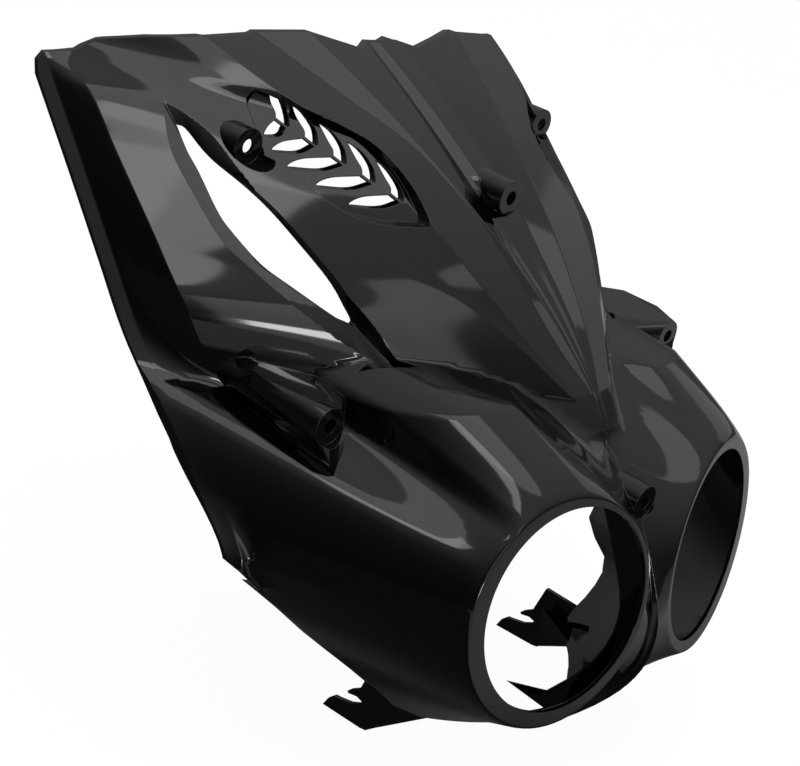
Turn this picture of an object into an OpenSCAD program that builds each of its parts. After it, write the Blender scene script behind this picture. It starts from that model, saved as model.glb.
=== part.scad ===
// Headlight cowl of a small scooter: one injection moulding, open at the back.
// X runs across, the front is -Y and the mould opens along Y, Z is up.
// The origin lies between the two lamp openings, at the height of their axes.

/* [Lamp barrels] */
// Distance between the two lamp axes
lamp_pitch = 148.4; // [142:0.2:156]
// Diameter of a lamp opening
lamp_d = 117; // [108:0.5:120]
// Width of the flat rim above and below a lamp opening
rim_w = 6.5; // [5:0.5:9]
// How much wider the rim is on its outer side
rim_offset = 4; // [2:0.5:6]
// Angle by which a rim turns back towards its outer side
rim_sweep = 11; // [8:0.5:14]
// Angle by which a rim leans back towards its top
rim_rake = 13; // [10:0.5:16]

/* [Wall] */
// Wall thickness, square to a typical face
wall = 2.6; // [2.2:0.1:3.2]
// Wall thickness along the mould's pull
pull_wall = 4.6; // [4:0.1:5.5]

/* [Upper body] */
// Height of the point where the centre trough starts
apex_z = 85; // [80:1:90]
// Depth of that point behind the lamp axes' crossing with the rims
apex_y = 60; // [55:1:65]
// Height of the top edge at the centre trough
top_z = 235; // [228:1:242]
// Half width at the two brow corners of the top edge
brow_corner_x = 64; // [58:1:70]
// Height of the top edge at the shoulder
shoulder_z = 218; // [212:1:222]
// Lean of the brow line at the apex, in depth for each unit of height
lean = 0.756; // [0.7:0.01:0.8]
// How fast that lean grows with height, for each 1000 units
lean_growth = 4.47; // [4.2:0.05:4.7]
// Depth of the centre trough below the brow line
trough_d = 9; // [5:0.5:12]
// Height of the raised spine in the trough
spine_h = 8; // [4:0.5:10]
// Half width of the spine
spine_w = 9; // [8:0.5:12]

/* [Side] */
// Half width of the whole cowl
half_width = 207; // [204:0.5:212]
// Distance from the outer edge to the ridge of the side step
ridge_inset = 14; // [12:0.5:17]

/* [Recesses and slots] */
// Depth of the leaf recess and of the louvre pocket, along the pull
recess_d = 9; // [6:0.5:11]
// Widest part of the long slot
slot_bow = 19; // [14:0.5:21]
// Number of louvre pairs on each side
louvre_n = 5; // [3:1:5]
// Width of a louvre at its bend
louvre_w = 5; // [3.5:0.1:5.5]
// Width of the web between the two arms of a louvre
web_w = 1.2; // [0.8:0.1:1.6]

/* [Screw bosses] */
// Outer diameter of a screw boss
boss_d = 20.5; // [19:0.25:22]
// Bore for the screw in the seat of a boss
bore_d = 8.5; // [6:0.25:9]
// Thickness of a boss seat
seat_t = 2.5; // [2:0.1:4]
// Wall thickness of the tube behind a seat
tube_wall = 1.8; // [1.5:0.1:2.6]

/* [Hooks] */
// Thickness of a lower hook plate
hook_t = 3; // [2.5:0.1:4]
// Distance of a hook plate from its lamp's axis, outwards
hook_offset = 12.8; // [10:0.2:16]

/* [Hidden] */

lamp_x = lamp_pitch / 2;
lamp_r = lamp_d / 2;
hook_x = lamp_x + hook_offset;
back_y = 420;
margin_x = 250;
ridge_x = half_width - ridge_inset;
flange_x = half_width - 6;
row_step = 12;
rows_z = [for (z = [-18 : row_step : 248]) z];

// Screw seats: centre of the face of each boss, on the +X side or on the centre plane
crown_seat = [0, 152, 172];
nose_seat = [0, 12.5, 41.5];
wing_seat = [136, 235, 182.5];
side_seat = [165, 114, 75];

// Plan of the crease lines: height above the apex against distance from the centre plane
facet_plan = [[0, 2], [20, 14], [64, 28], [85, 35], [105, 45], [125, 68], [170, 120]];
cheek_plan = [[0, 14], [20, 32], [42, 48], [64, 62], [78, 69], [102, 77], [112, 86], [125, 112], [170, 150]];
wing_plan = [[0, 17], [5, 23], [23, 41], [43, 66], [54, 90], [73, 112], [93, 125], [125, 135], [170, 160]];
// Depth of the outer edge, and inset and depth of the ridge, against height
edge_depth = [[-20, 126], [-6, 137], [35, 175], [64, 208], [83, 229], [115, 258], [156, 295], [185, 322], [248, 380]];
ridge_plan = [[-20, 60], [35, 50], [58, 31], [72, 19], [90, 8], [107, 2], [118, 0], [194, 0], [218, 14], [248, 14]];
ridge_depth = [[-20, 120], [35, 152], [58, 174], [72, 188], [90, 197], [107, 205], [131, 230], [172, 279],
    [193, 303], [205, 324], [248, 372]];

// How a barrel flares: direction from its axis, depth gained for each unit of radius, reach of the flare
flare = [[0, 1.9, 90], [26, 2.1, 100], [46, 5, 34], [90, 4.2, 27], [104, 4, 30], [122, 2.4, 50], [140, 1.5, 75],
    [172, 1, 80], [200, 0.2, 80], [240, 1, 80], [270, 2, 55], [292, 4.5, 40], [305, 5.4, 36], [340, 3.2, 60],
    [360, 1.9, 90]];

function rise(z) = max(z - apex_z, -16);
function brow_x(z) = let (h = max(rise(z), 0), t = h / (top_z - apex_z))
    1.5 + (brow_corner_x - 1.5) * t * (0.75 + 0.25 * t);
function brow_y(z) = let (h = rise(z)) apex_y + lean * h + lean_growth / 1000 * h * h;
function ramp(a, b, v) = min(1, max(0, (v - a) / (b - a)));

// Half of a horizontal section through the upper body, from the centre plane outwards
function half_section(z, spare) = let (
        h = rise(z),
        by = brow_y(z),
        bx = brow_x(z),
        trough = trough_d * ramp(0, 60, h),
        spine = spine_h * ramp(crown_seat[2] - apex_z - 4, crown_seat[2] - apex_z + 6, h),
        sw = min(spine_w, bx * 0.3) + 0.1,
        fx = max(lookup(h, facet_plan), bx + 1),
        fy = by + 0.9 * (fx - bx),
        cx = max(lookup(h, cheek_plan), fx + 2),
        cy = fy + 0.1 * (cx - fx),
        wx = max(lookup(h, wing_plan), cx + 2),
        rx = ridge_x - lookup(z, ridge_plan),
        ry = lookup(z, ridge_depth),
        ey = lookup(z, edge_depth),
        wy = cy + (ry - cy) * (wx - cx) / (rx - cx) - 2
    ) [
        [0, by + trough - spine],
        [sw, by + trough - spine + 0.5],
        [sw * 1.5 + 1, by + trough],
        [max(bx, sw * 1.5 + 2), by],
        [max(fx, sw * 1.5 + 3), fy],
        [cx, cy],
        [wx, wy],
        for (t = [0.33, 0.67]) [wx + (rx - wx) * t, wy + (ry - wy) * t - 5 * t * (1 - t)],
        [rx, ry],
        [flange_x, ey - 6],
        [half_width, ey],
        [margin_x + spare, ey + (margin_x + spare - half_width)]
    ];

function mirrored(h) = concat([for (i = [len(h) - 1 : -1 : 1]) [-h[i][0], h[i][1]]], h);

// Everything behind the upper body's face, moved back by off. A form that is moved back also reaches further out.
module body_form(off) {
    sections = [for (i = [0 : len(rows_z) - 1]) let (
        z = rows_z[i],
        reach = i == 0 ? z - off : i == len(rows_z) - 1 ? z + off : z
    ) [for (p = mirrored(half_section(z, off))) [p[0], p[1] + off, reach]]];
    nr = len(sections);
    nc = len(sections[0]);
    front = [for (s = sections) each s];
    rim = concat(
        [for (c = [0 : nc - 1]) c],
        [for (r = [1 : nr - 1]) r * nc + nc - 1],
        [for (c = [nc - 2 : -1 : 0]) (nr - 1) * nc + c],
        [for (r = [nr - 2 : -1 : 1]) r * nc]);
    nf = nr * nc;
    nb = len(rim);
    last_y = back_y + 2 * off;
    back = [for (i = rim) [front[i][0], last_y, front[i][2]]];
    faces = concat(
        [for (r = [0 : nr - 2]) for (c = [0 : nc - 2]) let (a = r * nc + c)
            each [[a, a + nc, a + 1], [a + 1, a + nc, a + nc + 1]]],
        [for (i = [0 : nb - 1]) let (j = (i + 1) % nb)
            each [[rim[i], rim[j], nf + i], [rim[j], nf + j, nf + i]]],
        [for (i = [0 : nb - 1]) [nf + i, nf + (i + 1) % nb, nf + nb]]);
    polyhedron(concat(front, back, [[0, last_y, 100]]), faces, convexity = 6);
}

function rim_y(x, z) = tan(rim_sweep) * (x - lamp_x) + tan(rim_rake) * z;
function flare_slope(a) = lookup(a, [for (f = flare) [f[0], f[1]]]);
function flare_reach(a) = lookup(a, [for (f = flare) [f[0], f[2]]]);

// Everything behind one lamp barrel's face, with its radius less by inset
module barrel_form(inset) {
    na = 36;
    ns = 4;
    angles = [for (i = [0 : na - 1]) 360 * i / na];
    function loop(s) = [for (a = angles) let (
            r = lamp_r + rim_w + rim_offset * cos(a) - inset + s * flare_reach(a),
            x = lamp_x + r * cos(a),
            z = r * sin(a)
        ) [x, rim_y(x, z) + s * flare_reach(a) * flare_slope(a) + inset, z]];
    face = [for (s = [0 : ns]) each loop(pow(s / ns, 1.3))];
    last = loop(1);
    last_y = back_y - 20 + 10 * inset;
    back = [for (p = last) [p[0], last_y, p[2]]];
    points = concat([[lamp_x, rim_y(lamp_x, 0) + inset, 0]], face, back, [[lamp_x, last_y, 0]]);
    end = 1 + (ns + 2) * na;
    faces = concat(
        [for (i = [0 : na - 1]) [0, 1 + (i + 1) % na, 1 + i]],
        [for (s = [0 : ns]) for (i = [0 : na - 1]) let (
            a = 1 + s * na + i,
            b = 1 + s * na + (i + 1) % na
        ) each [[a, b, a + na], [b, b + na, a + na]]],
        [for (i = [0 : na - 1]) [end, 1 + (ns + 1) * na + i, 1 + (ns + 1) * na + (i + 1) % na]]);
    polyhedron(points, faces, convexity = 6);
}

module both_sides() {
    children();
    mirror([1, 0, 0]) children();
}

// A drawing in X and Z, carried along the mould's pull
module pull(from, to) {
    translate([0, to, 0]) rotate([90, 0, 0]) linear_extrude(to - from) children();
}

// A leaf between two tips, with one bow to each side of the line between them
function leaf(a, b, bow_a, bow_b, n = 10) = let (
        d = b - a,
        u = d / norm(d),
        side = [-u[1], u[0]]
    ) concat(
        [for (i = [0 : n - 1]) a + d * i / n + side * bow_a * sin(180 * i / n)],
        [for (i = [n : -1 : 1]) a + d * i / n - side * bow_b * sin(180 * i / n)]);

leaf_top = [163, 197];
leaf_foot = [95, 83];
slot_top = [157, 186];
slot_foot = [113, 109];
pocket_outer = [121, 209];
pocket_inner = [66, 159];

module leaf_outline() polygon(leaf(leaf_top, leaf_foot, 30, 3));
module slot_outline() polygon(leaf(slot_top, slot_foot, slot_bow, 2));
module pocket_outline() polygon(leaf(pocket_outer, pocket_inner, 26, 14));

// One pair of louvre arms that meet in a bend
louvre_first = [107, 191];
louvre_last = [69, 168];
function arm(a, b, tip, bow_a, bow_b) = let (m = (a + b) / 2, d = tip - m, side = [-d[1], d[0]] / norm(d)) [
    a, a + (tip - a) * 0.5 + side * bow_a, tip, b + (tip - b) * 0.5 + side * bow_b, b];
module louvres() {
    for (i = [0 : louvre_n - 1]) {
        v = louvre_first + (louvre_last - louvre_first) * i / 4;
        w = v + [0.9, 0.44] * louvre_w;
        long = i == 0 ? 13 : 27;
        gap = web_w / 2;
        polygon(arm(v + [-gap, gap], w + [-gap, gap], v + [4, 16], 1.5, -1));
        polygon(arm(v + [gap, -gap], w + [gap, -gap], v + [long, -3], -3, 1));
    }
}

// Front outline of the cowl, seen along the pull
module front_outline() {
    half = [[0, top_z - 3], [brow_corner_x * 0.4, top_z - 8], [brow_corner_x, top_z],
        [ridge_x - 61, shoulder_z + 10], [ridge_x - 21, shoulder_z - 1], [ridge_x - 9, shoulder_z - 8],
        [half_width - 5, shoulder_z - 10.5], [half_width - 1, shoulder_z - 16], [half_width, shoulder_z - 24],
        [half_width, 20], [half_width - 6, -6], [150, -54], [lamp_x + 18, -108], [lamp_x + 8, -113], [0, -113]];
    polygon(concat(half, [for (i = [len(half) - 2 : -1 : 1]) [-half[i][0], half[i][1]]]));
}

module outer_form() {
    difference() {
        union() {
            body_form(0);
            both_sides() barrel_form(0);
        }
        difference() {
            both_sides() pull(-60, back_y - 10) {
                leaf_outline();
                pocket_outline();
            }
            body_form(recess_d);
        }
        each_seat() along_pull($seat, -60, 0, boss_d);
    }
    each_seat() along_pull($seat, 0, back_y - 40 - $seat[1], boss_d);
    side_foot(0, 0);
}

module inner_form() {
    difference() {
        union() {
            body_form(pull_wall);
            both_sides() barrel_form(wall);
        }
        difference() {
            both_sides() pull(-60, back_y - 10) offset(delta = wall) {
                leaf_outline();
                pocket_outline();
            }
            body_form(recess_d + pull_wall);
        }
        each_seat() along_pull($seat, -60, seat_t, boss_d + 2 * tube_wall);
    }
    each_seat() along_pull($seat, seat_t, back_y - 30 - $seat[1], boss_d - 2 * tube_wall);
    side_foot(seat_t, tube_wall);
}

module along_pull(seat, from, to, d) {
    translate([seat[0], seat[1] + to, seat[2]]) rotate([90, 0, 0]) cylinder(h = to - from, d = d, $fn = 48);
}

module each_seat() {
    for (s = [crown_seat, nose_seat]) {
        $seat = s;
        children();
    }
    both_sides() for (s = [wing_seat, side_seat]) {
        $seat = s;
        children();
    }
}

// The side boss has a fin below it
fin = [[-1, 0], [-0.75, -0.7], [-0.3, -2.3], [0.2, -2.3], [0.75, -0.7], [1, 0]];
module side_foot(from, shrink) {
    both_sides() pull(side_seat[1] + from, back_y - 35 + from)
        polygon([for (p = fin) [side_seat[0], side_seat[2]] + p * (boss_d / 2 - shrink)]);
}

module hook() {
    translate([hook_x - hook_t / 2, 0, 0]) rotate([90, 0, 90]) linear_extrude(hook_t)
        polygon([[76, -100], [88, -120], [112, -141], [134, -133], [128, -129], [110, -128], [109, -121],
            [122, -121], [120, -117], [104, -112], [104, -94], [80, -94]]);
}

module cowl() {
    color("#151515") {
        difference() {
            intersection() {
                difference() {
                    outer_form();
                    inner_form();
                }
                pull(-80, back_y - 30) front_outline();
            }
            both_sides() {
                translate([lamp_x, 40, 0]) rotate([90, 0, 0]) cylinder(h = 120, r = lamp_r, $fn = 96);
                pull(0, back_y - 30) slot_outline();
                pull(0, back_y - 30) louvres();
            }
            each_seat() along_pull($seat, -1, seat_t + 1, bore_d);
        }
        both_sides() hook();
    }
}

cowl();
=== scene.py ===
# %% [markdown]
# # A scooter's headlight cowl in gloss black
#
# The real cowl is one moulding in black plastic, open at the back. Its front is a set of smooth panels that
# meet in sharp creases, so the lesson builds it as a moulder thinks of it: a face that the mould pulls straight
# off, a second face behind it, and everything else cut along the same direction.
#
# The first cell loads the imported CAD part. It fixes the frame: X across, -Y to the front, Z up, in metres.

import math

import bmesh
import bpy
import numpy as np
from mathutils import Matrix, Vector


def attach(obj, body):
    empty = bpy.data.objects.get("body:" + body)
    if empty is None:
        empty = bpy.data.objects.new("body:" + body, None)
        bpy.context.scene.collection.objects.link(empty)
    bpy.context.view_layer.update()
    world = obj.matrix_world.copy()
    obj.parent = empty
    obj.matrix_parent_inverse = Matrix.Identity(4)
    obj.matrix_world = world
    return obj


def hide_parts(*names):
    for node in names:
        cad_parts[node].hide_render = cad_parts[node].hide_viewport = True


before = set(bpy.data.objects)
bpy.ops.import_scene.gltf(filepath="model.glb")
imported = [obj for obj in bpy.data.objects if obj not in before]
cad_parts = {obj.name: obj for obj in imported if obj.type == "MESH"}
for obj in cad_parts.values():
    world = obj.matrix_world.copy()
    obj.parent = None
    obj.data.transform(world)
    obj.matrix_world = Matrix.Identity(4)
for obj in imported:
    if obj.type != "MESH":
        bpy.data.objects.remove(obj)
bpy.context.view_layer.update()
MM = 0.001

# %% [markdown]
# ## Sizes
#
# The sizes are in millimetres and start from the CAD source. Where the real part is finer than the solids, as in
# the lean of the lamp rims, they are drawn closer to it. Each table holds a curve of the moulding as a few points
# that a designer would mark on the drawing, and the script bends a smooth curve through them.

# %% Sizes of the moulding
LAMP_X, LAMP_R = 74.2, 58.5
RIM_W, RIM_OFFSET = 6.5, 4.0
RIM_DROP, RIM_SWEEP = 1.5, math.tan(math.radians(11))
RIM_RAKE, ROOT_RAKE = math.tan(math.radians(9.5)), math.tan(math.radians(13))
WALL, PULL_WALL, EDGE_WALL = 2.6, 4.6, 2.8
APEX_Z, APEX_Y, TOP_Z = 85.0, 60.0, 235.0
HALF_WIDTH, RIDGE_X, FLANGE_X, MARGIN_X = 207.0, 193.0, 201.0, 250.0
BACK_Y = 420.0
LOWER_Z, LOWER_SLOPE = -18.0, 2.5
ROWS_Z = np.linspace(-60.0, 246.0, 154)

FACET_PLAN = [(0, 2), (20, 14), (64, 28), (85, 35), (105, 45), (125, 68), (170, 120)]
CHEEK_PLAN = [(0, 14), (20, 32), (42, 48), (64, 62), (78, 69), (102, 77), (112, 86), (125, 112), (170, 150)]
WING_PLAN = [(0, 17), (5, 23), (23, 41), (43, 66), (54, 90), (73, 112), (93, 125), (125, 135), (170, 160)]
EDGE_DEPTH = [(-20, 122), (-1, 128), (37, 175), (65, 208), (83, 229), (115, 258), (156, 295), (185, 322), (248, 380)]
RIDGE_PLAN = [(-20, 60), (35, 50), (58, 31), (72, 19), (90, 8), (107, 2), (118, 0), (194, 0), (218, 14), (248, 14)]
RIDGE_DEPTH = [(-20, 120), (35, 152), (58, 174), (72, 188), (90, 197), (107, 205), (131, 230), (172, 279), (193, 303),
               (205, 324), (248, 372)]
print(len(ROWS_Z), "rows over the upper body")

# %% [markdown]
# ## Curves through a few points
#
# `smooth` is a cubic that passes through every point and never swings past one, which is what a draughtsman's
# bent spline does. It takes whole numpy arrays, so one call serves a whole surface.


# %% Curve helpers
def smooth(v, table):
    """Cubic pieces through the table, each slope a weighted harmonic mean of its two chords."""
    x, y = np.array(table, float).T
    h, d = np.diff(x), np.diff(y) / np.diff(x)
    m = np.r_[d[0], np.zeros(len(d) - 1), d[-1]]
    w1, w2 = 2 * h[1:] + h[:-1], h[1:] + 2 * h[:-1]
    same = d[:-1] * d[1:] > 0
    near, far = np.where(same, d[:-1], 1), np.where(same, d[1:], 1)
    m[1:-1] = np.where(same, (w1 + w2) / (w1 / near + w2 / far), 0)
    v = np.clip(v, x[0], x[-1])
    i = np.clip(np.searchsorted(x, v) - 1, 0, len(h) - 1)
    s = (v - x[i]) / h[i]
    start = (1 + 2 * s) * (1 - s) ** 2 * y[i] + s * (1 - s) ** 2 * h[i] * m[i]
    return start + s**2 * (3 - 2 * s) * y[i + 1] + s**2 * (s - 1) * h[i] * m[i + 1]


def ramp(a, b, v):
    """A straight line from 0 at a to 1 at b, and level outside."""
    return np.clip((v - a) / (b - a), 0, 1)


print("edge depth at the top:", round(float(smooth(235.0, EDGE_DEPTH)), 1), "mm")

# %% [markdown]
# ## The upper body's face
#
# A level cut through the upper body meets the same lines at every height: the spine, the trough, the brow, the
# two cheek creases, the wing line, the ridge of the side step and the outer edge. `lines` gives where each one
# lies at a height, and `body_face` joins them, so every crease falls exactly on a line of the mesh. Below
# `LOWER_Z` the face slopes back, and the barrels take over.


# %% The face of the upper body
def lines(z):
    """X and Y of each crease at the heights z, from the spine to the outer edge."""
    h = np.maximum(z - APEX_Z, -16)
    up = np.maximum(h, 0)
    t = up / (TOP_Z - APEX_Z)
    bx = 1.5 + 62.5 * t * (0.75 + 0.25 * t)
    by = APEX_Y + 0.756 * h + 0.00447 * h * h
    trough = 9 * ramp(0, 60, h)
    spine = 8 * ramp(83, 93, h)
    sw = np.minimum(9, bx * 0.3) + 0.1
    fx = np.maximum(smooth(h, FACET_PLAN), bx + 1)
    fy = by + 0.9 * (fx - bx)
    cx = np.maximum(smooth(h, CHEEK_PLAN), fx + 2)
    cy = fy + 0.1 * (cx - fx)
    wx = np.maximum(smooth(h, WING_PLAN), cx + 2)
    rx, ry = RIDGE_X - smooth(z, RIDGE_PLAN), smooth(z, RIDGE_DEPTH)
    ey = smooth(z, EDGE_DEPTH)
    wy = cy + (ry - cy) * (wx - cx) / (rx - cx) - 2
    flat = 0 * z
    xs = [flat, sw, sw * 1.5 + 1, np.maximum(bx, sw * 1.5 + 2), np.maximum(fx, sw * 1.5 + 3), cx, wx, rx,
          flat + FLANGE_X, flat + HALF_WIDTH, flat + MARGIN_X]
    ys = [by + trough - spine, by + trough - spine + 0.5, by + trough, by, fy, cy, wy, ry, ey - 6, ey,
          ey + MARGIN_X - HALF_WIDTH]
    return np.array(xs), np.array(ys)


SAG = np.array([0, 0, 0, 0, 0, 0, 5.0, 0, 0, 0])


def body_face(x, z):
    """Depth between two creases: a straight line, less a parabola where the panel is hollow."""
    xs, ys = lines(z)
    x = np.abs(x)
    y = np.array(ys[-1])
    for k in range(len(xs) - 1):
        s = (x - xs[k]) / (xs[k + 1] - xs[k])
        y = np.where((s >= 0) & (s <= 1), ys[k] + (ys[k + 1] - ys[k]) * s - SAG[k] * s * (1 - s), y)
    return y + LOWER_SLOPE * np.maximum(LOWER_Z - z, 0)


print("nose of the V at", round(float(body_face(np.array(0.0), np.array(85.0))), 1), "mm")

# %% [markdown]
# ## The face of a lamp barrel
#
# Each lamp looks out of a barrel: a flat, slanted ring, then a wall that flares back. How it flares depends on the
# direction from the lamp's axis. Each row of `FLARE` holds that direction in degrees, the wall's slope, how far
# out it reaches and how round it starts. A barrel also ends at the middle plane, where the other one begins.

# %% The face of a barrel
FLARE = np.array([(0, 1.9, 90, 1), (26, 2.1, 100, 1), (46, 5, 34, 1), (56, 3, 32, 6), (70, 2.2, 31, 12),
                  (90, 2.4, 28, 12), (104, 3, 30, 8), (122, 2.4, 50, 2), (140, 1.5, 75, 1), (172, 1, 80, 1),
                  (200, 0.2, 80, 1), (240, 1, 80, 1), (270, 2, 55, 1), (292, 3, 45, 1), (305, 3.7, 40, 1),
                  (317, 4.8, 40, 1), (340, 3.2, 60, 1), (360, 1.9, 90, 1)])
SLOPE, REACH, ROUND = [[tuple(row) for row in FLARE[:, [0, k]]] for k in (1, 2, 3)]


def rim_plane(x, z, share=0):
    """A plane that leans back upwards and outwards; share turns it from the rim to the root."""
    return RIM_SWEEP * (x - LAMP_X) + (RIM_RAKE + (ROOT_RAKE - RIM_RAKE) * share) * z


def rim_radius(angle):
    """The ring's outer radius: the lamp's, a width, and a cosine and a sine that shift it."""
    turn = np.radians(angle)
    return LAMP_R + RIM_W + RIM_OFFSET * np.cos(turn) - RIM_DROP * np.sin(turn)


STEEP, BEYOND = 10.0, (2.0, 10.0)


def reach(angle):
    """How far the wall goes out: the table, or the distance to the middle plane if shorter."""
    to_middle = (LAMP_X + 0.5) / np.maximum(-np.cos(np.radians(angle)), 0.05) - rim_radius(angle)
    return np.minimum(smooth(angle, REACH), to_middle)


def flared(out, angle):
    """Slope times the distance out, softened near the rim as d * d / (d + roundness)."""
    return smooth(angle, SLOPE) * out * out / (out + smooth(angle, ROUND))


def barrel_face(x, z):
    """Depth of the barrel: the rim's plane, the flare, and a steep wall past its reach."""
    dx = x - LAMP_X
    angle = np.degrees(np.arctan2(z, dx)) % 360
    out = np.maximum(np.hypot(dx, z) - rim_radius(angle), 0)
    lean = rim_plane(x, z, np.minimum(out / smooth(angle, REACH), 1))
    return lean + flared(out, angle) + STEEP * np.maximum(out - reach(angle), 0)


print("rim leans back", round(RIM_RAKE * 2 * LAMP_R, 1), "mm from bottom to top")

# %% [markdown]
# ## Closed solids from a face
#
# Booleans need closed solids. `shell` takes a grid of points for the front, draws its border straight back and
# closes it with a fan. Every polygon gets a number, `patch`, which says later what kind of face it is.

# %% Build closed solids
FACE, BARREL, RIM, SIDE, BACK, FLOOR, CUT, FLAT = 1, 2, 3, 4, 5, 6, 7, 8


def as_object(name, points, faces, patch):
    """A mesh object from points in millimetres, with a patch number on every face."""
    mesh = bpy.data.meshes.new(name)
    mesh.from_pydata((np.asarray(points) * MM).tolist(), [], [list(map(int, f)) for f in faces])
    mark = mesh.attributes.new("patch", "INT", "FACE")
    mark.data.foreach_set("value", np.full(len(mesh.polygons), patch, np.int32) if np.isscalar(patch) else patch)
    piece = bpy.data.objects.new(name, mesh)
    bpy.context.scene.collection.objects.link(piece)
    return piece


def shell(name, x, y, z, patch):
    """Close a grid: its quads, its border drawn straight back, and a fan behind."""
    rows, cols = x.shape
    at = np.arange(rows * cols).reshape(rows, cols)
    front = np.stack([x, y, z], -1).reshape(-1, 3)
    border = np.r_[at[0], at[1:, -1], at[-1, -2::-1], at[-2:0:-1, 0]]
    back = front[border] * [1, 0, 1] + [0, BACK_Y, 0]
    quads = np.stack([at[:-1, :-1], at[:-1, 1:], at[1:, 1:], at[1:, :-1]], -1).reshape(-1, 4)
    behind = len(front) + np.arange(len(border))
    ahead, behind_next = np.roll(border, -1), np.roll(behind, -1)
    walls = np.stack([border, behind, behind_next, ahead], -1)
    fan = np.stack([behind, np.full(len(border), len(front) + len(border)), behind_next], -1)
    points = np.vstack([front, back, [[0, BACK_Y, 100]]])
    patches = np.r_[np.full(len(quads), patch), np.full(len(walls) + len(fan), SIDE)].astype(np.int32)
    return as_object(name, points, [*quads.tolist(), *walls.tolist(), *fan.tolist()], patches)


CREASE = 0.6
STRIPS = [3, 3, 3, 8, 8, 8, 26, 4, 2, 6]


def body_columns(z):
    """X of every column of the grid: each strip split evenly, with two close to each crease."""
    xs = lines(z)[0]
    cols = []
    for k, n in enumerate(STRIPS):
        wide = xs[k + 1] - xs[k]
        near = np.minimum(CREASE, 0.25 * wide) / wide
        inner = [near + (1 - 2 * near) * i / n for i in range(n + 1)]
        cols += [xs[k] + wide * s for s in [0 * near, *inner]]
    return np.array([*cols, xs[-1]])


def body_solid(name, off, patch, rows=ROWS_Z, thin=1):
    """The body's face moved back by off, as a closed solid; thin keeps every so many columns."""
    half = body_columns(rows)
    half = half[np.unique(np.r_[0, np.arange(1, len(half) - 1, thin), len(half) - 1])]
    x = np.vstack([-half[:0:-1], half]).T
    z = np.repeat(rows[:, None], x.shape[1], 1)
    thinner = np.where((np.abs(x) > RIDGE_X + 1) & (patch == BACK), EDGE_WALL / PULL_WALL, 1)
    return shell(name, x, body_face(x, z) + off * thinner, z, patch)


body = body_solid("body face", 0, FACE)
print("body face:", len(body.data.polygons), "polygons")

# %% [markdown]
# A barrel's solid is a polar grid round the lamp's axis: rings of points from the rim outwards, with the rings
# close together near the rim, where the surface turns most.


# %% Build the barrels
def barrel_solid(name, side, inset, patch, count=120, rings=20):
    """Rings round the lamp's axis at the depth of barrel_face, moved in by inset and closed."""
    angle = np.arange(count) * 360 / count
    t = np.r_[0, 0.004, 0.012, np.linspace(0.03, 1, rings) ** 1.3][:, None]
    out = np.vstack([np.full(count, -1.0), t * reach(angle), *[reach(angle) + d for d in BEYOND]])
    r = rim_radius(angle) - inset + out
    x, z = LAMP_X + r * np.cos(np.radians(angle)), r * np.sin(np.radians(angle))
    lean = rim_plane(x, z, np.clip(out / smooth(angle, REACH), 0, 1))
    y = lean + flared(np.maximum(out, 0), angle) + STEEP * np.maximum(out - reach(angle), 0) + inset
    rows = len(out)
    at = 1 + np.arange(rows * count).reshape(rows, count)
    after = np.roll(at, -1, 1)
    last = 1 + rows * count
    back, back_after = last + np.arange(count), last + (np.arange(count) + 1) % count
    middle = [[LAMP_X, float(rim_plane(LAMP_X, 0)) + inset, 0]]
    ring_back = np.stack([x[-1], np.full(count, BACK_Y), z[-1]], -1)
    points = np.vstack([middle, np.stack([x, y, z], -1).reshape(-1, 3), ring_back, [[LAMP_X, BACK_Y, 0]]])
    fan = np.stack([np.zeros(count, int), at[0], after[0]], -1)
    skin = np.stack([at[:-1], at[1:], after[1:], after[:-1]], -1).reshape(-1, 4)
    wall = np.stack([at[-1], back, back_after, after[-1]], -1)
    cap = np.stack([back_after, back, np.full(count, last + count)], -1)
    patches = np.r_[np.full(count, RIM if patch == BARREL else patch), np.full(len(skin), patch),
                    np.full(2 * count, SIDE)].astype(np.int32)
    faces = [f for part in (fan, skin, wall, cap) for f in part.tolist()]
    if side < 0:
        points = points * [-1, 1, 1]
        faces = [f[::-1] for f in faces]
    return as_object(name, points, faces, patches)


barrels = [barrel_solid("barrel face", side, 0, BARREL) for side in (1, -1)]
print("barrels:", [len(b.data.polygons) for b in barrels], "polygons")

# %% [markdown]
# ## Cutting along the mould's pull
#
# Most outlines are drawn in X and Z, as the moulding is seen from the front, and carried along Y by `prism`. The
# lower hooks are drawn in Y and Z, and `slab` carries them along X. `combine` runs one boolean and applies it at
# once, so the next one starts from a plain mesh.


# %% Prisms and booleans
def sleeve(n):
    """The faces of a prism with n corners: both ends, then the walls."""
    ends = [list(range(n)), list(range(2 * n - 1, n - 1, -1))]
    return ends + [[i, n + i, n + (i + 1) % n, (i + 1) % n] for i in range(n)]


def prism(name, outline, y0, y1, patch=CUT, side=1):
    """An outline in X and Z, mirrored by side and carried from y0 to y1."""
    outline = np.asarray(outline, float) * [side, 1]
    n, ahead = len(outline), np.roll(outline, -1, 0)
    area = np.sum(outline[:, 0] * ahead[:, 1] - ahead[:, 0] * outline[:, 1])
    if area < 0:
        outline = outline[::-1]
    points = [[x, y, z] for y in (y0, y1) for x, z in outline]
    return as_object(name, points, sleeve(n), patch)


def slab(name, outline, x0, x1):
    """A counterclockwise outline in Y and Z, carried from x0 to x1."""
    points = [[x, y, z] for x in (x0, x1) for y, z in outline]
    faces = sleeve(len(outline))
    return as_object(name, points, [f[::-1] for f in faces] if x1 > x0 else faces, CUT)


def tube(name, x, z, y0, y1, r, count=64, patch=CUT):
    """A prism over a circle of radius r."""
    turn = np.radians(np.arange(count) * 360 / count)
    return prism(name, np.stack([x + r * np.cos(turn), z + r * np.sin(turn)], -1), y0, y1, patch)


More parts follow.
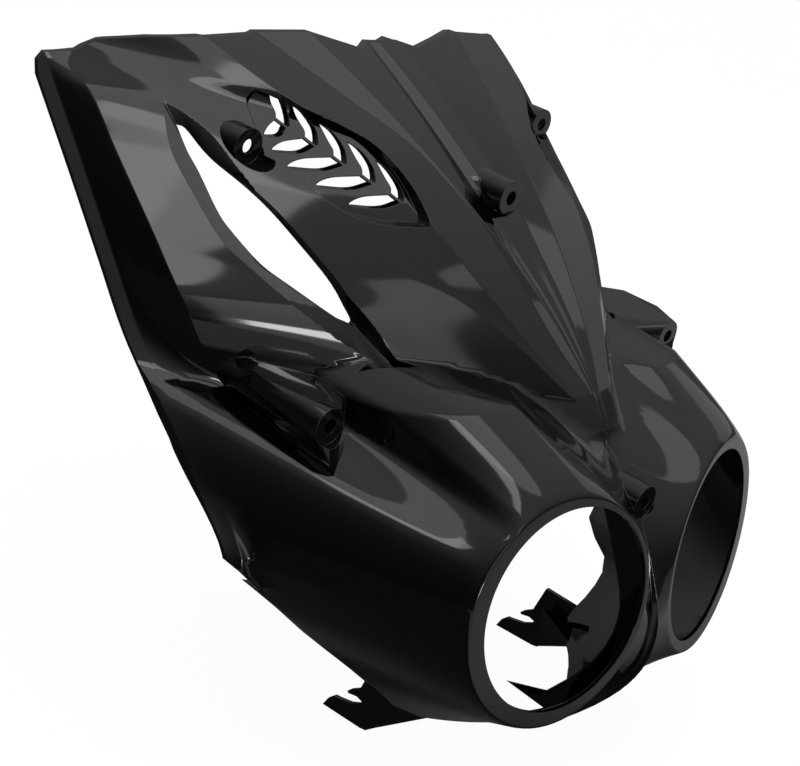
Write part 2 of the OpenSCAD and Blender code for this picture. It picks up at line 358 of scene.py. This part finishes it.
def combine(a, others, how):
    """Run the boolean of a with each of the others, and keep its result in a."""
    for b in others if isinstance(others, list) else [others]:
        step = a.modifiers.new(how, "BOOLEAN")
        step.solver, step.operation, step.object = "MANIFOLD", how, b
        graph = bpy.context.evaluated_depsgraph_get()
        done = bpy.data.meshes.new_from_object(a.evaluated_get(graph))
        a.modifiers.clear()
        old, a.data = a.data, done
        bpy.data.meshes.remove(old)
        bpy.data.meshes.remove(b.data)
    return a


def both(make):
    """The right piece and the left one."""
    return [make(side) for side in (1, -1)]


outside = combine(body, barrels, "UNION")
print("body and barrels joined:", len(outside.data.polygons), "polygons")

# %% [markdown]
# ## Recesses
#
# A leaf-shaped recess frames the long slot. Its sides slope from the leaf's edge on the face down to the slot, so
# each one is a ruled surface between two curves, and the plug that cuts it goes on through the face. The pocket
# for the louvres has a floor that is the body's own face moved straight back.


# %% Outlines of the recesses
def bend(points, n=5):
    """A Catmull-Rom curve through the points, n steps to a span."""
    p = np.array(points, float)
    p = np.vstack([2 * p[0] - p[1], p, 2 * p[-1] - p[-2]])
    a, b, c, d = (p[k : len(p) - 3 + k, None] for k in range(4))
    t = (np.arange(n) / n)[None, :, None]
    curve = b + (c - a) * t / 2 + (a - 2.5 * b + 2 * c - d / 2) * t**2 + (1.5 * b - a / 2 - 1.5 * c + d / 2) * t**3
    return np.vstack([curve.reshape(-1, 2), p[-2]])


def ring(*sides):
    """A closed outline of bent sides, each of which starts where the last one ends."""
    return np.vstack([bend(side)[:-1] for side in sides])


LEAF = ring([(163.5, 195.5), (168.7, 181), (170, 168.5), (167.7, 149), (163.8, 136.5), (155.9, 127.5), (141.8, 113.8),
             (121.4, 98.4), (97.3, 85.5)],
            [(97.3, 85.5), (103.7, 99.9), (113, 115.7), (120.6, 126.7), (129.9, 137), (136, 148.6), (141, 161),
             (145.5, 173.2), (150, 185.4), (157.6, 192.4), (163.5, 195.5)])
SLOT = ring([(160.6, 185.1), (160.8, 175), (159.9, 166), (159.2, 151), (156.9, 143.3), (149.7, 131), (140, 123.1),
             (123.9, 111.7), (115.6, 108.2)],
            [(115.6, 108.2), (114.8, 110.1), (116.4, 115.7), (120.4, 127.7), (128.4, 142.1), (135.1, 154),
             (141.6, 162.5), (149.1, 170.1), (152.7, 175.4), (156.2, 183.4), (160.6, 185.1)])
POCKET = ring([(121, 208.5), (109.7, 205.2), (94.6, 201.5), (84.2, 197.5), (74.7, 192.4), (69.1, 183.3), (67.7, 174),
               (69.5, 164.5), (71, 160.8)],
              [(71, 160.8), (88.4, 158.6), (98.8, 159.3), (104.6, 160.4), (111.2, 164.4), (117, 169.4),
               (122.8, 174.3), (127.5, 180), (128.5, 190), (125.5, 203), (121, 208.5)])
POCKET_D, LEAF_D, LEAF_MIDDLE = 9.0, 5.5, (139, 146)


def grown(outline, by):
    """Each point moved out by the same distance, square to its two neighbours."""
    along = np.roll(outline, -1, 0) - np.roll(outline, 1, 0)
    out = np.stack([along[:, 1], -along[:, 0]], -1) / np.hypot(*along.T)[:, None]
    ahead = np.roll(outline, -1, 0)
    turn = np.sum(outline[:, 0] * ahead[:, 1] - ahead[:, 0] * outline[:, 1])
    return outline + out * by * np.sign(turn)


def on_body(outline, off):
    """The outline laid on the body's face, moved back by off."""
    x, z = np.array(outline, float).T
    return np.stack([x, body_face(x, z) + off, z], -1)


def leaf_plug(side, grow, off, patch):
    """A ruled surface from the slot, deep down, through the leaf and on past the face."""
    deep, rim = on_body(grown(SLOT, grow), LEAF_D + off), on_body(grown(LEAF, grow), off)
    n = len(deep)
    ends = on_body([LEAF_MIDDLE], off) + [[0, LEAF_D, 0], [0, -40, 0]]
    points = np.vstack([deep, 2 * rim - deep, ends]) * [side, 1, 1]
    i, j = np.arange(n), (np.arange(n) + 1) % n
    faces = [*np.stack([i, j, n + j, n + i], -1).tolist(), *np.stack([j, i, np.full(n, 2 * n)], -1).tolist(),
             *np.stack([n + i, n + j, np.full(n, 2 * n + 1)], -1).tolist()]
    return as_object("leaf plug", points, [f[::-1] for f in faces] if side > 0 else faces, patch)


def sink(form, grow, off, patch, thin=1):
    """Cut the leaf and the pocket into both sides of a form."""
    for side in (1, -1):
        combine(form, leaf_plug(side, grow, off, CUT if patch == FLOOR else patch), "DIFFERENCE")
        plug = prism("recess", grown(POCKET, grow), -60, BACK_Y - 1, CUT, side)
        floor = body_solid("recess floor", POCKET_D + off, patch, thin=thin)
        combine(form, combine(plug, floor, "DIFFERENCE"), "DIFFERENCE")
    return form


outside = sink(outside, 0, 0, FLOOR)
print("with its recesses:", len(outside.data.polygons), "polygons")

# %% [markdown]
# ## Screw seats
#
# Six short tubes stand forward of the skin. Each has a thin plate at its front with a hole for the screw, and is
# open behind. The tubes are part of both faces, outside and inside, so they run into the skin without a joint.
# The two side tubes stand in a wedge-shaped housing. It is the hull of a few corners and of two rings round the
# tube, given from the seat's own centre, and it is hollow from behind.

# %% Screw seats
SEATS = [(0, 152, 172), (0, 12.5, 41.5)]
SEATS += [(s * x, y, z) for s in (1, -1) for x, y, z in ((136, 235, 182.5), (165, 114, 75))]
BOSS_R, BORE_R, SEAT_T, TUBE_WALL = 10.25, 4.25, 2.5, 1.8
SIDE_SEAT, HOUSING_ROOT = np.array([165, 114, 75]), np.array([-12, 58, -6])
HOUSING = [(7.3, 5, 7.9), (13.5, 21, 11.1), (11, 47.7, 12.1), (-33, 38, 4.7), (-40, 27, -0.2), (3, 68, 3.2),
           (4.7, 54, -12.5), (-2, -8, -24), (-20, 4, -19), (-34, 20, -6.5), (-15, 101, 0), (0, 95, 2),
           (-30, 86, -9)]
HOUSING_R, HOUSING_RINGS = 10.7, (0, 58)
HOUSING += [(HOUSING_R * math.cos(k * math.pi / 16), y, HOUSING_R * math.sin(k * math.pi / 16))
            for k in range(32) for y in HOUSING_RINGS]


def side_housing(side, share):
    """The convex hull of the housing's corners, shrunk towards its root by share."""
    form = bmesh.new()
    for corner in HOUSING:
        place = SIDE_SEAT + HOUSING_ROOT + (np.array(corner) - HOUSING_ROOT) * share
        form.verts.new(Vector(place * [side, 1, 1] * MM))
    bmesh.ops.convex_hull(form, input=form.verts)
    piece = as_object("side housing", np.zeros((0, 3)), [], CUT)
    form.to_mesh(piece.data)
    form.free()
    mark = piece.data.attributes.get("patch") or piece.data.attributes.new("patch", "INT", "FACE")
    mark.data.foreach_set("value", np.full(len(piece.data.polygons), FLAT, np.int32))
    return piece


def add_seats(form, start, clear_r, r, end):
    """Join the housings, then clear a cylinder before each seat and set its tube."""
    combine(form, both(lambda side: side_housing(side, 0.92 if start else 1)), "UNION")
    for x, y, z in SEATS:
        combine(form, tube("clearance", x, z, y - 80, y + start, clear_r), "DIFFERENCE")
        combine(form, tube("tube", x, z, y + start, end, r), "UNION")
    return form


outside = add_seats(outside, 0, BOSS_R, BOSS_R, BACK_Y - 40)
print("screw seats:", len(SEATS))

# %% [markdown]
# ## Wall
#
# The back face is the front face moved back along the pull, with its own barrels and recesses. It isn't seen
# much, so its grid is coarser. The difference of the two solids, kept inside the front outline, is the shell.
# The walls under the lamps run almost along the pull, so a block behind `LOWER_EDGE`, which is drawn in Y and Z,
# cuts them to length by their depth instead. The block's faces point inwards, and that leaves a few small steps
# behind the edge.

# %% Hollow the shell and trim it to its outline
OUTLINE = [(0, 232), (26, 227), (64, 234.5), (96, 228.8), (132, 227.2), (153, 221.6), (172, 214.8), (184, 208.2),
           (201, 205.5), (205, 201), (207, 194), (207, -1), (185, -22), (150, -54), (92, -108), (82, -113)]
OUTLINE += [(-x, z) for x, z in OUTLINE[:0:-1]]
inside = body_solid("body back", PULL_WALL, BACK, ROWS_Z[::3], 3)
inside = combine(inside, [barrel_solid("barrel back", s, WALL, BACK, 60, 8) for s in (1, -1)], "UNION")
inside = sink(inside, WALL, PULL_WALL, BACK, 3)
inside = add_seats(inside, SEAT_T, BOSS_R + TUBE_WALL, BOSS_R - TUBE_WALL, BACK_Y - 30)
cowl = combine(outside, inside, "DIFFERENCE")
cowl = combine(cowl, prism("outline", OUTLINE, -80, BACK_Y - 10), "INTERSECT")
LOWER_EDGE = [(127, -6), (115, -63), (98, -73), (87, -88), (85, -150), (450, -150), (450, -6)]
below = [[x, y, z] for x in (-230, 230) for y, z in LOWER_EDGE]
cowl = combine(cowl, as_object("behind the lower edge", below, sleeve(len(LOWER_EDGE)), CUT), "DIFFERENCE")
print("shell:", len(cowl.data.polygons), "polygons")

# %% [markdown]
# ## Openings
#
# The lamps look out through round openings. The long slots and the five pairs of louvre arms on each side let
# air through. The two arms of a pair lie on the two sides of a thin web and run out to points.


# %% Openings
def louvre_arms(count=5, wide=4.1, web=1.5):
    """Outlines of the pairs of arms, each pair a step down and inwards from the last."""
    arms = []
    near = np.array([0.6, 0])
    far, step = near + wide * np.array([0.73, 0.68]), web * np.array([0.72, -0.69])
    for i, long in zip(range(count), (0.48, 0.8, 1, 1, 0.93)):
        v = np.array([109, 193]) + np.array([-35.5, -24]) * i / 4
        arms.append(v + ring([near, (-0.8, 0.6), (-3, 6.5), (-1.8, 12.5), (2.7, 16)],
                             [(2.7, 16), (2.7, 9.5), (2.4, 5.5), far], [far, near]))
        arms.append(v + ring([far + step, near + step], [near + step, (12 * long, -4.9), (25 * long, -6.4)],
                             [(25 * long, -6.4), (27 * long, -5.2), (19 * long, -1.3), far + step]))
    return arms


for side in (1, -1):
    for outline in (grown(SLOT, 0.3), *louvre_arms()):
        combine(cowl, prism("opening", outline, -10, BACK_Y - 1, CUT, side), "DIFFERENCE")
    combine(cowl, tube("lamp opening", side * LAMP_X, 0, -80, 60, LAMP_R, 160), "DIFFERENCE")
for x, y, z in SEATS:
    combine(cowl, tube("bore", x, z, y - 1, y + 9, BORE_R, 40), "DIFFERENCE")
print("with its openings:", len(cowl.data.polygons), "polygons")

# %% [markdown]
# ## Lower hooks
#
# Two flat plates hang from the lower edge. Each ends in two prongs that catch the panel below, and a gusset ties
# its lower corner to the lip under the lamp.

# %% Lower hooks
HOOK = [(80, -94), (86, -112), (92, -131), (98.5, -137), (103, -138), (133.5, -140), (130.5, -133.5), (127, -130),
        (123, -129.3), (114, -127), (108, -123.7), (106, -121), (110.5, -120), (117, -121.7), (118, -120.5),
        (116.3, -118.6), (109.4, -113.8), (104, -94)]
GUSSET = [(87, 98.5, -137), (87, 84, -104), (72.2, 66, -112.8), (78.2, 98, -104)]


def hook(side):
    """The flat plate of one side."""
    return slab("hook", HOOK, side * 85.5, side * 88.5)


def gusset(side):
    """The tetrahedron that ties the plate to the lip."""
    faces = [[0, 1, 2], [0, 3, 1], [0, 2, 3], [1, 3, 2]]
    return as_object("gusset", np.array(GUSSET) * [side, 1, 1], [f[::-1] for f in faces] if side < 0 else faces, CUT)


combine(cowl, both(gusset), "UNION")
combine(cowl, both(hook), "UNION")
print("cowl:", len(cowl.data.polygons), "polygons")

# %% [markdown]
# ## Soft valleys and rounded creases
#
# A mould has no knife-sharp inner corners. `soft_min` fills the valley where a barrel meets the body, and
# between the two barrels. The shading normals then come from the surface's own formula, measured a little to
# each side of the point, so each crease catches light like a small radius and the reflections stay clean.

# %% Fill the valleys and set the normals
FILLET, LOOK = 14.0, 0.6


def soft_min(a, b, k):
    """The smaller of a and b, rounded by a parabola where they differ by less than k."""
    h = np.clip(0.5 + 0.5 * (b - a) / k, 0, 1)
    return b * (1 - h) + a * h - k * h * (1 - h)


def two_barrels(x, z, k):
    """Both barrels, with the valley between them filled."""
    return soft_min(barrel_face(x, z), barrel_face(-x, z), k)


def front_face(x, z):
    """Body and barrels together, with the valleys filled."""
    return soft_min(body_face(x, z), two_barrels(x, z, FILLET), FILLET)


def facing(surface, x, z):
    """The surface's normal from central differences, LOOK to each side."""
    dx = (surface(x + LOOK, z) - surface(x - LOOK, z)) / (2 * LOOK)
    dz = (surface(x, z + LOOK) - surface(x, z - LOOK)) / (2 * LOOK)
    n = np.stack([dx, -np.ones_like(dx), dz], -1)
    return n / np.linalg.norm(n, axis=-1, keepdims=True)


def read(items, name, kind, width=1):
    """One property of every item, as an array."""
    values = np.zeros(len(items) * width, kind)
    items.foreach_get(name, values)
    return values.reshape(-1, width) if width > 1 else values


def finish_surface(piece):
    """Move the front into the filled valleys and give it normals from its formula."""
    mesh = piece.data
    at = read(mesh.vertices, "co", np.float32, 3).astype(float) / MM
    corner = read(mesh.loops, "vertex_index", np.int32)
    patch = np.repeat(read(mesh.attributes["patch"].data, "value", np.int32),
                      read(mesh.polygons, "loop_total", np.int32))
    front = np.isin(patch, (FACE, BARREL))
    on_front = np.unique(corner[front])
    x, z = at[on_front, 0], at[on_front, 2]
    hard = np.minimum(body_face(x, z), np.minimum(barrel_face(x, z), barrel_face(-x, z)))
    shift = np.clip(front_face(x, z) - hard, -FILLET / 4, 0)
    at[on_front, 1] += shift
    mesh.vertices.foreach_set("co", (at * MM).astype(np.float32).ravel())
    mesh.polygons.foreach_set("use_smooth", read(mesh.attributes["patch"].data, "value", np.int32) != FLAT)
    mesh.set_sharp_from_angle(angle=math.radians(32))
    normals = read(mesh.corner_normals, "vector", np.float32, 3)
    p = at[corner]
    normals[front] = facing(front_face, p[front, 0], p[front, 2])
    floor = patch == FLOOR
    normals[floor] = facing(body_face, p[floor, 0], p[floor, 2])
    mesh.normals_split_custom_set(normals.tolist())
    mesh.update()
    print("normals set on", len(corner), "corners; deepest fill", round(float(-shift.min()), 2), "mm")


finish_surface(cowl)
cowl.name = "cowl_shell"
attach(cowl, "root")
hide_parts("cowl")

# %% [markdown]
# ## Gloss black plastic
#
# The moulding is black ABS straight from a polished mould. It has almost no colour of its own, so what is seen
# on it is reflection. A bevel node turns the normal along every cut edge, as the small radii of the mould do.


# %% The material
def hex_colour(code):
    """An sRGB hex value turned to linear light."""
    parts = np.array([int(code[i : i + 2], 16) for i in (1, 3, 5)]) / 255
    linear = np.where(parts <= 0.04045, parts / 12.92, ((parts + 0.055) / 1.055) ** 2.4)
    return [*linear.tolist(), 1.0]


def node(tree, kind, **sockets):
    """Add a node and set its sockets, with _ for a space."""
    made = tree.nodes.new("ShaderNode" + kind)
    for name, value in sockets.items():
        made.inputs[name.replace("_", " ")].default_value = value
    return made


def black_abs():
    """Almost black, with a polished finish, soft cut edges and a faint moulding ripple."""
    material = bpy.data.materials.new("black ABS")
    material.use_nodes = True
    tree = material.node_tree
    plastic = tree.nodes["Principled BSDF"]
    plastic.inputs["Base Color"].default_value = hex_colour("#060607")
    plastic.inputs["Roughness"].default_value = 0.07
    plastic.inputs["IOR"].default_value = 1.53
    edge = node(tree, "Bevel", Radius=0.6 * MM)
    edge.samples = 8
    where = tree.nodes.new("ShaderNodeTexCoord")
    ripple = node(tree, "TexNoise", Scale=22.0, Detail=1.0)
    bump = node(tree, "Bump", Strength=0.06, Distance=0.4 * MM)
    tree.links.new(where.outputs["Object"], ripple.inputs["Vector"])
    tree.links.new(ripple.outputs["Fac"], bump.inputs["Height"])
    tree.links.new(edge.outputs["Normal"], bump.inputs["Normal"])
    tree.links.new(bump.outputs["Normal"], plastic.inputs["Normal"])
    return material


cowl.data.materials.clear()
cowl.data.materials.append(black_abs())
cowl.data.polygons.foreach_set("material_index", np.zeros(len(cowl.data.polygons), np.int32))
print("material:", cowl.data.materials[0].name)

# %% [markdown]
# ## Floor and light
#
# A catalogue picture of a gloss black part is lit by large white panels that it mirrors. The floor and the
# world look white to the camera. In the part's mirror the world darkens downwards and to the left, and the floor
# is dark but for its front, so the panels give the grey sheets of reflection and the rest stays black.


# %% The floor and the world
def white_world():
    """White to the camera; in mirrors a grey that fades downwards and to the left."""
    world = bpy.data.worlds.new("white studio")
    bpy.context.scene.world = world
    world.use_nodes = True
    tree = world.node_tree
    where, parts = tree.nodes.new("ShaderNodeTexCoord"), tree.nodes.new("ShaderNodeSeparateXYZ")
    rise = node(tree, "MapRange", From_Min=0.0, From_Max=1.0, To_Min=0.12, To_Max=0.7)
    rise.interpolation_type = "SMOOTHSTEP"
    tree.links.new(where.outputs["Generated"], parts.inputs[0])
    tree.links.new(parts.outputs["Z"], rise.inputs["Value"])
    dim, level = node(tree, "MapRange", From_Min=-0.9, From_Max=-0.3, To_Min=0.25, To_Max=1.0), node(tree, "Math")
    level.operation = "MULTIPLY"
    tree.links.new(parts.outputs["X"], dim.inputs["Value"])
    tree.links.new(rise.outputs["Result"], level.inputs[0])
    tree.links.new(dim.outputs["Result"], level.inputs[1])
    light = tree.nodes["Background"]
    light.inputs["Color"].default_value = hex_colour("#F4F5F6")
    tree.links.new(level.outputs[0], light.inputs["Strength"])
    seen = node(tree, "Background", Color=(1, 1, 1, 1), Strength=1.0)
    path, mix = tree.nodes.new("ShaderNodeLightPath"), tree.nodes.new("ShaderNodeMixShader")
    tree.links.new(path.outputs["Is Camera Ray"], mix.inputs["Fac"])
    tree.links.new(light.outputs["Background"], mix.inputs[1])
    tree.links.new(seen.outputs["Background"], mix.inputs[2])
    tree.links.new(mix.outputs["Shader"], tree.nodes["World Output"].inputs["Surface"])


def floor_material():
    """White to the camera with the shadow kept; in mirrors dark, and lighter in front."""
    material = bpy.data.materials.new("white floor")
    material.use_nodes = True
    tree = material.node_tree
    matt = tree.nodes["Principled BSDF"]
    matt.inputs["Base Color"].default_value = hex_colour("#F4F4F4")
    matt.inputs["Roughness"].default_value = 0.9
    glow = node(tree, "Emission", Color=(1, 1, 1, 1), Strength=1.06)
    mirror = node(tree, "Emission", Color=(1, 1, 1, 1))
    where, forward = tree.nodes.new("ShaderNodeNewGeometry"), node(tree, "VectorMath")
    forward.operation = "DOT_PRODUCT"
    forward.inputs[1].default_value = (0.5, -1, 0)
    rise = node(tree, "MapRange", From_Min=0.08, From_Max=0.28, To_Min=0.05, To_Max=0.45)
    tree.links.new(where.outputs["Position"], forward.inputs[0])
    tree.links.new(forward.outputs["Value"], rise.inputs["Value"])
    tree.links.new(rise.outputs["Result"], mirror.inputs["Strength"])
    path = tree.nodes.new("ShaderNodeLightPath")
    share = node(tree, "Math")
    share.operation = "MULTIPLY"
    share.inputs[1].default_value = 0.9
    seen, mirrored = tree.nodes.new("ShaderNodeMixShader"), tree.nodes.new("ShaderNodeMixShader")
    tree.links.new(path.outputs["Is Camera Ray"], share.inputs[0])
    tree.links.new(share.outputs[0], seen.inputs["Fac"])
    tree.links.new(matt.outputs["BSDF"], seen.inputs[1])
    tree.links.new(glow.outputs["Emission"], seen.inputs[2])
    tree.links.new(path.outputs["Is Glossy Ray"], mirrored.inputs["Fac"])
    tree.links.new(seen.outputs["Shader"], mirrored.inputs[1])
    tree.links.new(mirror.outputs["Emission"], mirrored.inputs[2])
    tree.links.new(mirrored.outputs["Shader"], tree.nodes["Material Output"].inputs["Surface"])
    return material


white_world()
FLOOR_Z = -0.1415
bpy.ops.mesh.primitive_plane_add(size=12, location=(0, 0, FLOOR_Z))
floor = bpy.context.object
floor.name = "floor"
floor.data.materials.append(floor_material())
print("floor at", FLOOR_Z)

# %% Softboxes


def softbox(name, place, target, wide, high, power):
    """A rectangular area lamp at place that looks at target."""
    lamp = bpy.data.lights.new(name, "AREA")
    lamp.shape, lamp.size, lamp.size_y, lamp.energy = "RECTANGLE", wide, high, power
    holder = bpy.data.objects.new(name, lamp)
    bpy.context.scene.collection.objects.link(holder)
    holder.location = place
    holder.rotation_euler = (Vector(target) - Vector(place)).to_track_quat("-Z", "Y").to_euler()
    return holder


CENTRE = (0, 0.12, 0.06)
softbox("overhead panel", (-0.1, -0.1, 1.9), CENTRE, 1.5, 1.1, 5)
softbox("front strip", (-1.0, -1.73, 0.85), CENTRE, 0.6, 1.8, 3.2)
softbox("edge light", (-1.05, -1.6, 0.35), CENTRE, 0.25, 0.25, 2.5)
softbox("window panel", (-0.61, -0.23, 1.38), CENTRE, 0.45, 0.3, 1.05)
softbox("side panel", (1.9, -0.1, 0.7), CENTRE, 0.9, 1.0, 0.9)
print("five panels")

# %% [markdown]
# ## Camera
#
# The camera was found from pairs of points that mirror each other on the real part. Its rows are the
# directions to its right, upwards and back towards it.

# %% Camera
AZIMUTH, ELEVATION, ROLL, DISTANCE = -53.62, 22.74, -13.55, 0.9106
SHIFT_RIGHT, SHIFT_UP, FOCAL_PX, IMAGE_W = -0.13808, 0.10983, 1600.13, 800


def camera_rows():
    """Right, up and back of the camera, from its azimuth, elevation and roll."""
    a, e, r = np.radians([AZIMUTH, ELEVATION, ROLL])
    back = np.array([math.sin(a) * math.cos(e), -math.cos(a) * math.cos(e), math.sin(e)])
    right = np.array([math.cos(a), math.sin(a), 0])
    up = np.cross(back, right)
    c, s = math.cos(r), math.sin(r)
    return np.array([c * right - s * up, s * right + c * up, back])


rows = camera_rows()
lens = bpy.data.cameras.new("camera")
lens.sensor_width = 36.0
lens.lens = FOCAL_PX / IMAGE_W * lens.sensor_width
camera = bpy.data.objects.new("camera", lens)
bpy.context.scene.collection.objects.link(camera)
pose = np.eye(4)
pose[:3, :3] = rows.T
pose[:3, 3] = rows.T @ [SHIFT_RIGHT, SHIFT_UP, DISTANCE]
camera.matrix_world = Matrix(pose.tolist())
bpy.context.scene.camera = camera
bpy.context.scene.view_settings.view_transform = "Standard"
print("lens", round(lens.lens, 1), "mm")
